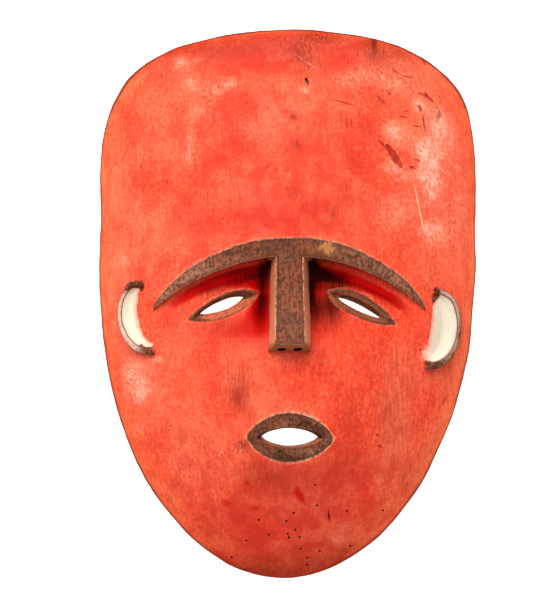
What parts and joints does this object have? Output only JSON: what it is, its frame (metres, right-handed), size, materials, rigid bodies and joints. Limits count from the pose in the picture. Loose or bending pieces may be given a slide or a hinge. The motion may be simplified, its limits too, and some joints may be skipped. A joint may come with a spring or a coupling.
{
  "type": "african tribal mask",
  "caption": "Carved wooden face mask with a tall domed forehead, arched brow, block nose, slit eyes, open mouth and raised ears, hollow behind.",
  "frame": {"origin": "centre of the bounding box in plan, on the flat back face of the edge that the mask lies on", "axes": "+Z out of the face, +Y towards the crown, +X to the right as one looks at the face"},
  "size_m": [0.2054, 0.3, 0.0824],
  "materials": {
    "mask": "matte red pigment on carved wood"
  },
  "bodies": {
    "root": {"mask": "mask"}
  },
  "joints": []
}
